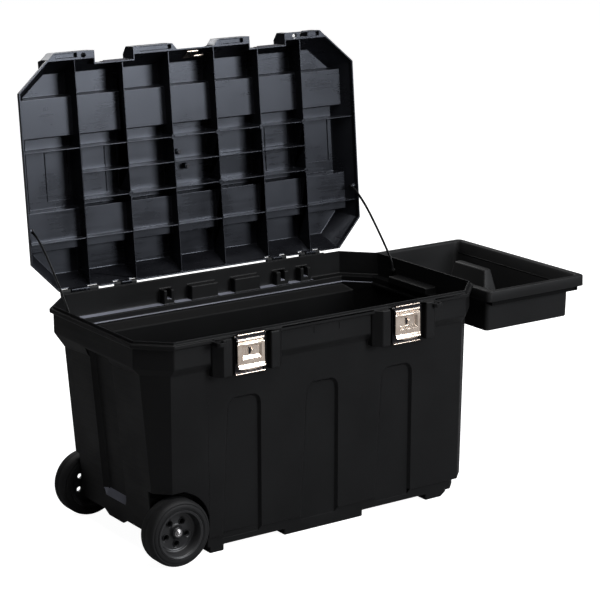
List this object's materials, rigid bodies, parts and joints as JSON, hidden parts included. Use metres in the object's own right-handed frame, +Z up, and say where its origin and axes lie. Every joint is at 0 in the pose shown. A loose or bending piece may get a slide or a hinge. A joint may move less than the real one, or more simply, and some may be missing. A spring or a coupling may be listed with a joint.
{
  "type": "rolling tool chest",
  "caption": "Wheeled plastic tool chest with a hinged ribbed lid on two stays, metal draw latches, a fold-down pull handle and a lift-out tray.",
  "frame": {"origin": "on the floor, on the underside of the middle foot, plumb under the middle of the rim", "axes": "+X towards the handle and tray end, -Y towards the latches, +Z up"},
  "size_m": [1.268, 0.6632, 1.0899],
  "materials": {
    "black_plastic": "black moulded structural foam, fine stipple",
    "lid_plastic": "black moulded plastic, semi-gloss inside",
    "tray_plastic": "black moulded plastic, fine stipple",
    "tyre_plastic": "solid dark tyre",
    "hub_plastic": "dark grey moulded plastic",
    "grip_rubber": "soft grip sleeve",
    "nickel": "polished nickel plate",
    "steel": "zinc plated",
    "strap": "flexible black strap"
  },
  "bodies": {
    "chest": {"chest_body": "black_plastic", "hinge_pin_1": "steel", "hinge_pin_2": "steel", "hinge_pin_3": "steel", "hinge_pin_4": "steel", "lid_stay_left": "strap", "lid_stay_right": "strap", "stay_screw_chest_left": "steel", "stay_screw_chest_right": "steel", "axle": "steel", "axle_spacer_front": "hub_plastic", "axle_spacer_back": "hub_plastic", "handle_pivot_front": "steel", "handle_pivot_back": "steel", "latch_base_left": "nickel", "latch_base_right": "nickel", "latch_pivot_left": "steel", "latch_pivot_right": "steel", "latch_rivet_left_1": "steel", "latch_rivet_left_2": "steel", "latch_rivet_left_3": "steel", "latch_rivet_left_4": "steel", "latch_rivet_right_1": "steel", "latch_rivet_right_2": "steel", "latch_rivet_right_3": "steel", "latch_rivet_right_4": "steel"},
    "lid": {"lid": "lid_plastic", "lid_keeper_left": "steel", "lid_keeper_right": "steel", "lid_hasp_plate": "nickel", "lid_screw_1": "steel", "lid_screw_2": "steel", "stay_screw_lid_left": "steel", "stay_screw_lid_right": "steel"},
    "tray": {"tray": "tray_plastic"},
    "pull_handle": {"pull_handle": "black_plastic", "handle_grip": "grip_rubber"},
    "wheel_front": {"tyre_front": "tyre_plastic", "hub_front": "hub_plastic", "cap_nut_front": "nickel"},
    "wheel_back": {"tyre_back": "tyre_plastic", "hub_back": "hub_plastic", "cap_nut_back": "nickel"},
    "latch_lever_left": {"latch_lever_left": "nickel", "latch_hook_pin_left": "steel"},
    "latch_hook_left": {"latch_hook_left": "nickel"},
    "latch_lock_left": {"latch_lock_left": "nickel"},
    "latch_lever_right": {"latch_lever_right": "nickel", "latch_hook_pin_right": "steel"},
    "latch_hook_right": {"latch_hook_right": "nickel"},
    "latch_lock_right": {"latch_lock_right": "nickel"}
  },
  "joints": [
    {"name": "lid_hinge", "type": "hinge", "parent": "chest", "child": "lid", "pos_m": [0, 0.2715, 0.5283], "axis": [1, 0, 0], "range_deg": [0, 94.9], "deforming": ["lid_stay_left", "lid_stay_right"]},
    {"name": "tray_lift", "type": "slide", "parent": "chest", "child": "tray", "axis": [0, 0, 1], "range_m": [0, 0.3]},
    {"name": "handle_swing", "type": "hinge", "parent": "chest", "child": "pull_handle", "pos_m": [0.4625, 0, 0.352], "axis": [0, -1, 0], "range_deg": [0, 90]},
    {"name": "wheel_front_spin", "type": "hinge", "parent": "chest", "child": "wheel_front", "pos_m": [-0.3918, -0.225, 0.078], "axis": [0, 1, 0], "continuous": true},
    {"name": "wheel_back_spin", "type": "hinge", "parent": "chest", "child": "wheel_back", "pos_m": [-0.3918, 0.185, 0.078], "axis": [0, 1, 0], "continuous": true},
    {"name": "latch_left_lever", "type": "hinge", "parent": "chest", "child": "latch_lever_left", "pos_m": [-0.2175, -0.27, 0.5165], "axis": [-1, 0, 0], "range_deg": [0, 95]},
    {"name": "latch_left_hook", "type": "hinge", "parent": "latch_lever_left", "child": "latch_hook_left", "pos_m": [-0.2175, -0.274, 0.5075], "axis": [-1, 0, 0], "range_deg": [-95, 0]},
    {"name": "latch_left_key", "type": "hinge", "parent": "latch_lever_left", "child": "latch_lock_left", "pos_m": [-0.2215, -0.2778, 0.479], "axis": [0, 1, 0], "range_deg": [0, 90]},
    {"name": "latch_right_lever", "type": "hinge", "parent": "chest", "child": "latch_lever_right", "pos_m": [0.2175, -0.27, 0.5165], "axis": [-1, 0, 0], "range_deg": [0, 95]},
    {"name": "latch_right_hook", "type": "hinge", "parent": "latch_lever_right", "child": "latch_hook_right", "pos_m": [0.2175, -0.274, 0.5075], "axis": [-1, 0, 0], "range_deg": [-95, 0]},
    {"name": "latch_right_key", "type": "hinge", "parent": "latch_lever_right", "child": "latch_lock_right", "pos_m": [0.2135, -0.2778, 0.479], "axis": [0, 1, 0], "range_deg": [0, 90]}
  ],
  "couplings": [
    {"joint": "latch_left_hook", "follows": "latch_left_lever", "ratio": -1},
    {"joint": "latch_right_hook", "follows": "latch_right_lever", "ratio": -1}
  ]
}
